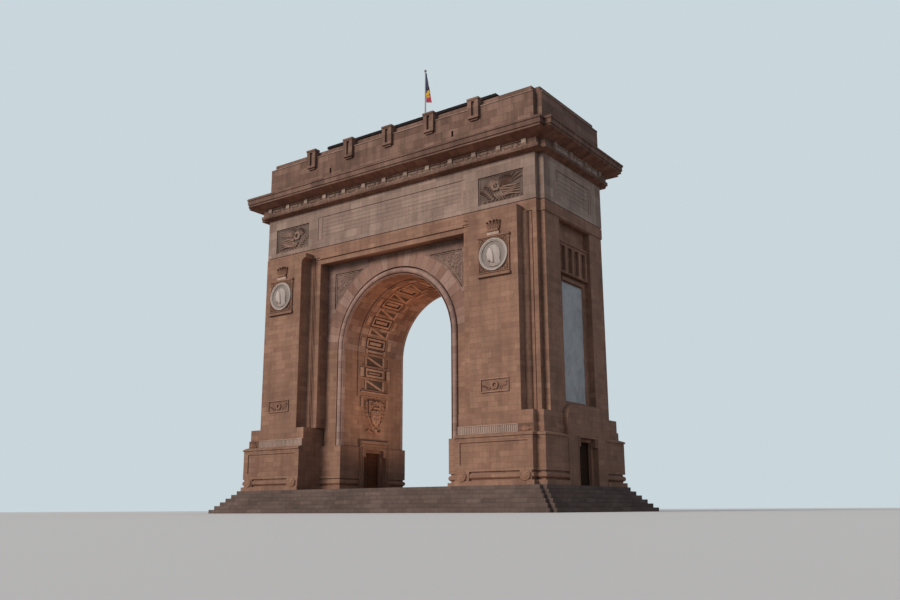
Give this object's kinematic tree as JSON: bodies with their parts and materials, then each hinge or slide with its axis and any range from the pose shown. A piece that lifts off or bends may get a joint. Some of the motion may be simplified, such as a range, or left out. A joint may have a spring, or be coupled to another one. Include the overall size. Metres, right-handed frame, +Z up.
{
  "type": "triumphal arch",
  "caption": "Stone-clad triumphal arch with a tall coffered barrel-vaulted passage, hollow piers with hinged doors, deep cornice, attic consoles and a flagpole.",
  "frame": {"origin": "centre of the plan on the ground, at the underside of the lowest step", "axes": "+Z up, +X along the long front to the viewer's right, -Y out of the front; both fronts and both ends mirror"},
  "size_m": [28.5, 14.54, 33.5963],
  "materials": {
    "wall_stone": "matte dressed stone",
    "step_stone": "matte worn stone",
    "pale_stone": "matte carved stone",
    "marble": "honed marble",
    "door_metal": "dark brown satin",
    "pole_paint": "light grey satin",
    "coping_metal": "dark matte",
    "flag_cloth": "woven cloth"
  },
  "bodies": {
    "arch": {"arch_rolls": "wall_stone", "attic_consoles": "wall_stone", "attic_end_walls": "wall_stone", "attic_long_walls": "wall_stone", "cornice_brackets": "wall_stone", "cornice_ends": "wall_stone", "cornice_long_sides": "wall_stone", "end_doorway_heads": "wall_stone", "end_doorway_jambs": "wall_stone", "end_tablets": "marble", "flag": "flag_cloth", "flagpole": "pole_paint", "frame_heads": "wall_stone", "frieze_end_walls": "wall_stone", "frieze_long_walls": "wall_stone", "lower_steps": "step_stone", "medallions": "pale_stone", "middle_steps": "step_stone", "passage_doorway_heads": "wall_stone", "passage_doorway_jambs": "wall_stone", "pier_end_heads": "wall_stone", "pier_end_walls": "wall_stone", "pier_floors": "wall_stone", "pier_long_walls": "wall_stone", "pier_passage_walls": "wall_stone", "pilaster_heads": "wall_stone", "pilasters": "wall_stone", "plinth_end_walls": "wall_stone", "plinth_long_walls": "wall_stone", "plinth_passage_walls": "wall_stone", "plinth_walls_over_doors": "wall_stone", "roof_housing_coping": "coping_metal", "roof_housing_walls": "wall_stone", "roof_slab": "wall_stone", "spandrel_walls": "wall_stone", "upper_steps": "step_stone", "vault_crown": "wall_stone", "vault_haunches": "wall_stone", "vault_shoulders": "wall_stone", "vault_springers": "wall_stone", "walls_beside_vault": "wall_stone", "window_posts": "wall_stone"},
    "left_end_door_back_leaf": {"left_end_door_back_leaf": "door_metal"},
    "left_end_door_front_leaf": {"left_end_door_front_leaf": "door_metal"},
    "left_passage_door_back_leaf": {"left_passage_door_back_leaf": "door_metal"},
    "left_passage_door_front_leaf": {"left_passage_door_front_leaf": "door_metal"},
    "right_end_door_back_leaf": {"right_end_door_back_leaf": "door_metal"},
    "right_end_door_front_leaf": {"right_end_door_front_leaf": "door_metal"},
    "right_passage_door_back_leaf": {"right_passage_door_back_leaf": "door_metal"},
    "right_passage_door_front_leaf": {"right_passage_door_front_leaf": "door_metal"}
  },
  "joints": [
    {"name": "left_end_door_back_hinge", "type": "hinge", "parent": "arch", "child": "left_end_door_back_leaf", "pos_m": [-12.163, 0.975, 1.56], "axis": [0, 0, 1], "range_deg": [0, 90]},
    {"name": "left_end_door_front_hinge", "type": "hinge", "parent": "arch", "child": "left_end_door_front_leaf", "pos_m": [-12.163, -0.975, 1.56], "axis": [0, 0, -1], "range_deg": [0, 90]},
    {"name": "left_passage_door_back_hinge", "type": "hinge", "parent": "arch", "child": "left_passage_door_back_leaf", "pos_m": [-5.197, 0.975, 1.56], "axis": [0, 0, -1], "range_deg": [0, 90]},
    {"name": "left_passage_door_front_hinge", "type": "hinge", "parent": "arch", "child": "left_passage_door_front_leaf", "pos_m": [-5.197, -0.975, 1.56], "axis": [0, 0, 1], "range_deg": [0, 90]},
    {"name": "right_end_door_back_hinge", "type": "hinge", "parent": "arch", "child": "right_end_door_back_leaf", "pos_m": [12.163, 0.975, 1.56], "axis": [0, 0, -1], "range_deg": [0, 90]},
    {"name": "right_end_door_front_hinge", "type": "hinge", "parent": "arch", "child": "right_end_door_front_leaf", "pos_m": [12.163, -0.975, 1.56], "axis": [0, 0, 1], "range_deg": [0, 90]},
    {"name": "right_passage_door_back_hinge", "type": "hinge", "parent": "arch", "child": "right_passage_door_back_leaf", "pos_m": [5.197, 0.975, 1.56], "axis": [0, 0, 1], "range_deg": [0, 90]},
    {"name": "right_passage_door_front_hinge", "type": "hinge", "parent": "arch", "child": "right_passage_door_front_leaf", "pos_m": [5.197, -0.975, 1.56], "axis": [0, 0, -1], "range_deg": [0, 90]}
  ]
}
